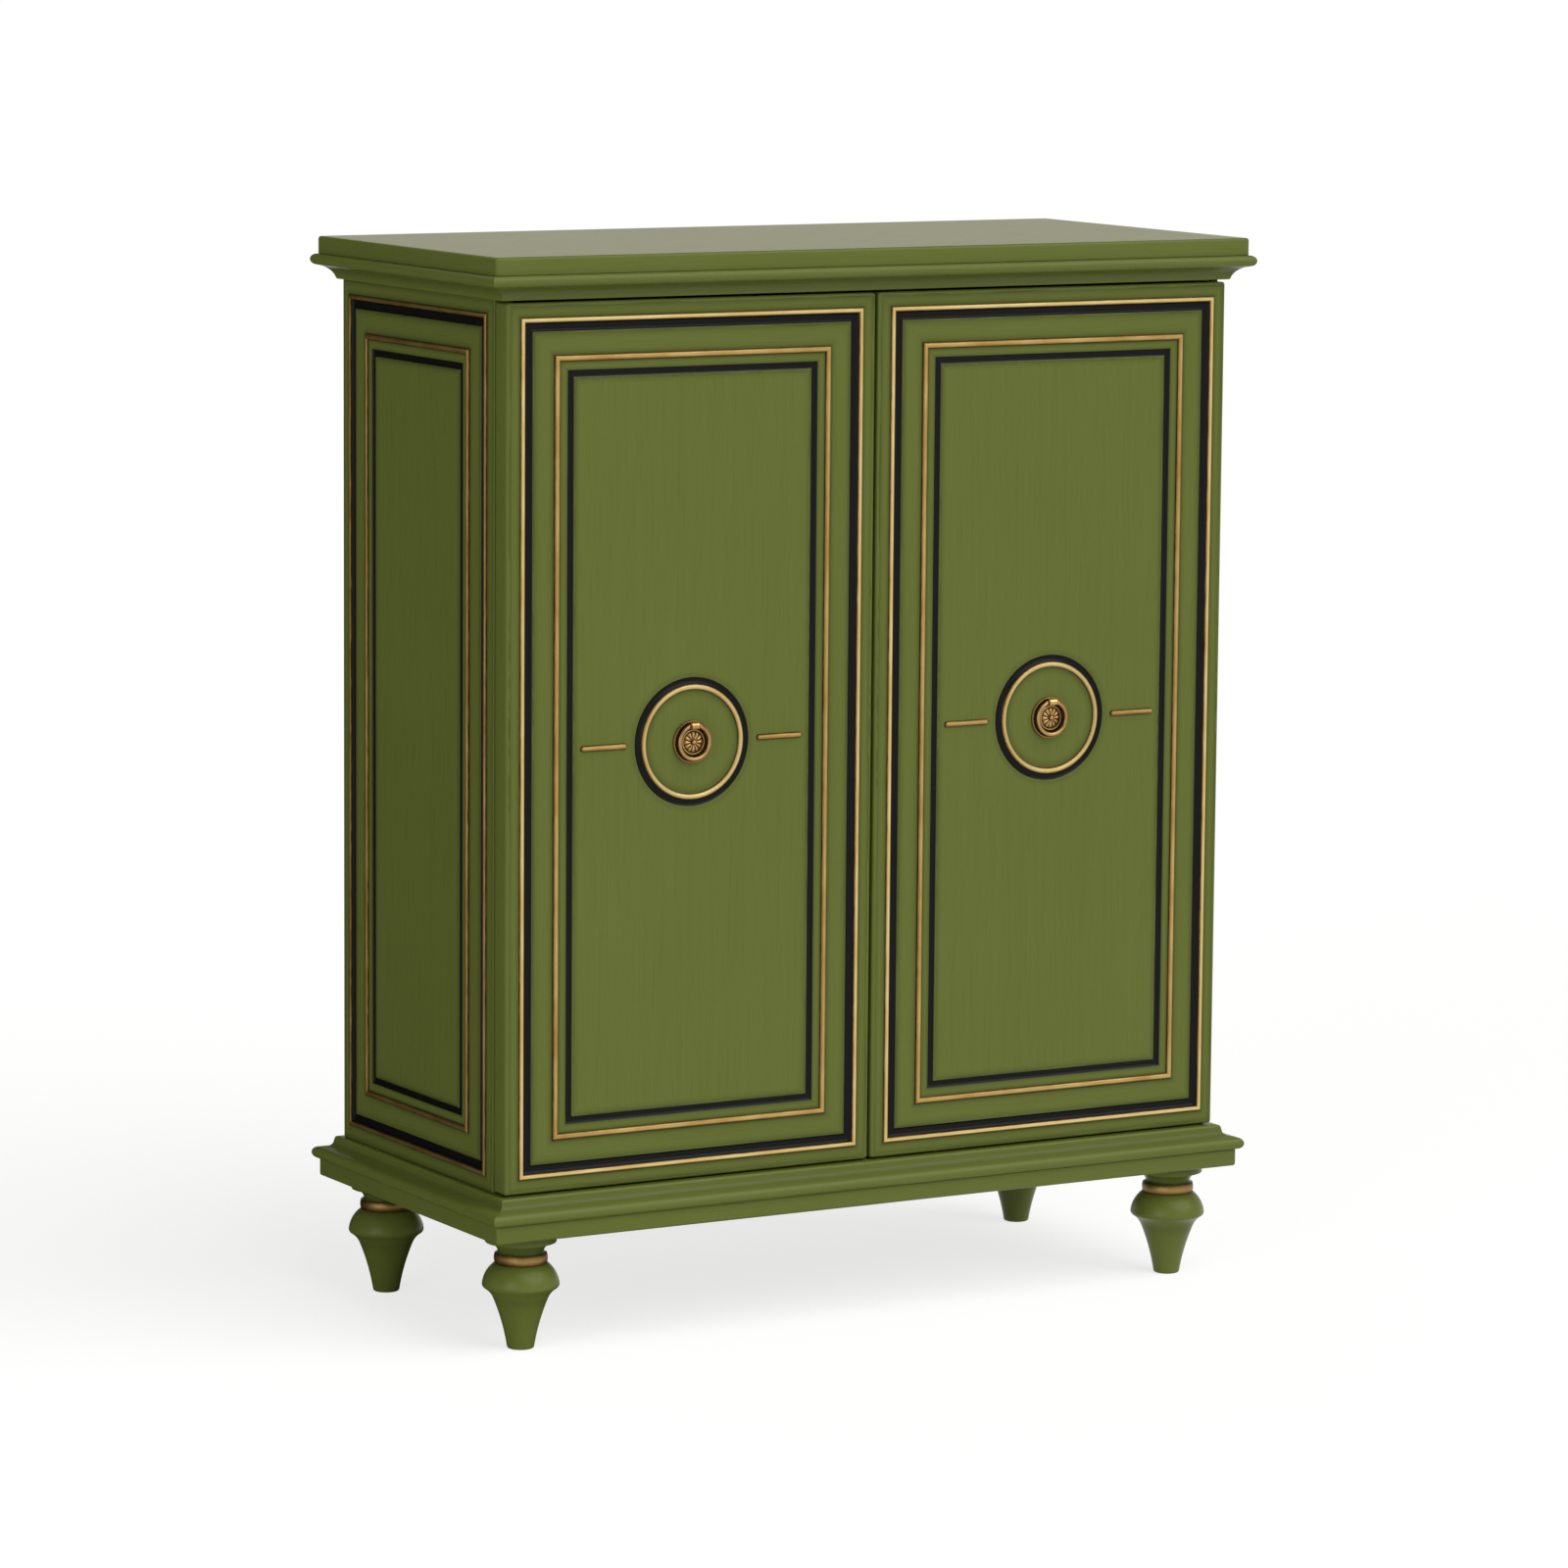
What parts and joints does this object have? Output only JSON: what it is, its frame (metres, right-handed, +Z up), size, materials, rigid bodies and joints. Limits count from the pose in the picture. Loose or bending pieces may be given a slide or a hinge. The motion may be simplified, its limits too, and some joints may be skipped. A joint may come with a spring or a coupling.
{
  "type": "two-door cabinet",
  "caption": "Painted floor cabinet on turned feet, with panelled doors on corner pivots, hanging ring pulls, gilt and black strips, a moulded cornice and base, and shelves inside.",
  "frame": {"origin": "on the floor, under the middle of the cabinet's box", "axes": "+X to the right as one faces the doors, +Y to the back, +Z up; the doors face -Y"},
  "size_m": [0.914, 0.425, 1.1253],
  "materials": {
    "green_paint": "satin olive paint, brushed",
    "inside_paint": "flat olive paint",
    "gilt": "gold paint with a brown glaze",
    "black_paint": "satin black paint",
    "antique_brass": "cast, darkened in the hollows",
    "plain_brass": "turned",
    "steel": "zinc plated",
    "catch_plastic": "moulded brown"
  },
  "bodies": {
    "case": {"back_panel": "inside_paint", "base_board": "green_paint", "base_moulding_back": "green_paint", "base_moulding_front": "green_paint", "base_moulding_left": "green_paint", "base_moulding_right": "green_paint", "case_bottom": "green_paint", "case_screws": "steel", "case_top": "green_paint", "cornice_back": "green_paint", "cornice_front": "green_paint", "cornice_left": "green_paint", "cornice_right": "green_paint", "door_catches": "catch_plastic", "foot_back_left": "green_paint", "foot_back_right": "green_paint", "foot_bolts": "steel", "foot_front_left": "green_paint", "foot_front_right": "green_paint", "hinge_pins": "plain_brass", "left_side_black_cove": "black_paint", "left_side_black_line": "black_paint", "left_side_inner_gilt_bead": "gilt", "left_side_outer_gilt_bead": "gilt", "left_side_panel": "green_paint", "lower_shelf": "inside_paint", "right_side_black_cove": "black_paint", "right_side_black_line": "black_paint", "right_side_inner_gilt_bead": "gilt", "right_side_outer_gilt_bead": "gilt", "right_side_panel": "green_paint", "shelf_pins": "plain_brass", "top_slab": "green_paint", "upper_shelf": "inside_paint"},
    "left_door": {"left_door_black_cove": "black_paint", "left_door_black_line": "black_paint", "left_door_black_ring": "black_paint", "left_door_catch_plate": "steel", "left_door_gilt_dashes": "gilt", "left_door_gilt_ring": "gilt", "left_door_hinge_bushes": "plain_brass", "left_door_inner_gilt_bead": "gilt", "left_door_outer_gilt_bead": "gilt", "left_door_panel": "green_paint", "left_door_pull_bolt": "steel", "left_door_pull_plate": "antique_brass"},
    "right_door": {"right_door_black_cove": "black_paint", "right_door_black_line": "black_paint", "right_door_black_ring": "black_paint", "right_door_catch_plate": "steel", "right_door_gilt_dashes": "gilt", "right_door_gilt_ring": "gilt", "right_door_hinge_bushes": "plain_brass", "right_door_inner_gilt_bead": "gilt", "right_door_outer_gilt_bead": "gilt", "right_door_panel": "green_paint", "right_door_pull_bolt": "steel", "right_door_pull_plate": "antique_brass"},
    "left_ring": {"left_pull_ring": "antique_brass"},
    "right_ring": {"right_pull_ring": "antique_brass"}
  },
  "joints": [
    {"name": "left_door_hinge", "type": "hinge", "parent": "case", "child": "left_door", "pos_m": [-0.423, -0.1745, 0.6228], "axis": [0, 0, -1], "range_deg": [0, 110]},
    {"name": "right_door_hinge", "type": "hinge", "parent": "case", "child": "right_door", "pos_m": [0.423, -0.1745, 0.6228], "axis": [0, 0, 1], "range_deg": [0, 110]},
    {"name": "left_ring_hinge", "type": "hinge", "parent": "left_door", "child": "left_ring", "pos_m": [-0.21635, -0.1922, 0.6398], "axis": [-1, 0, 0], "range_deg": [0, 110]},
    {"name": "right_ring_hinge", "type": "hinge", "parent": "right_door", "child": "right_ring", "pos_m": [0.21635, -0.1922, 0.6398], "axis": [-1, 0, 0], "range_deg": [0, 110]}
  ]
}
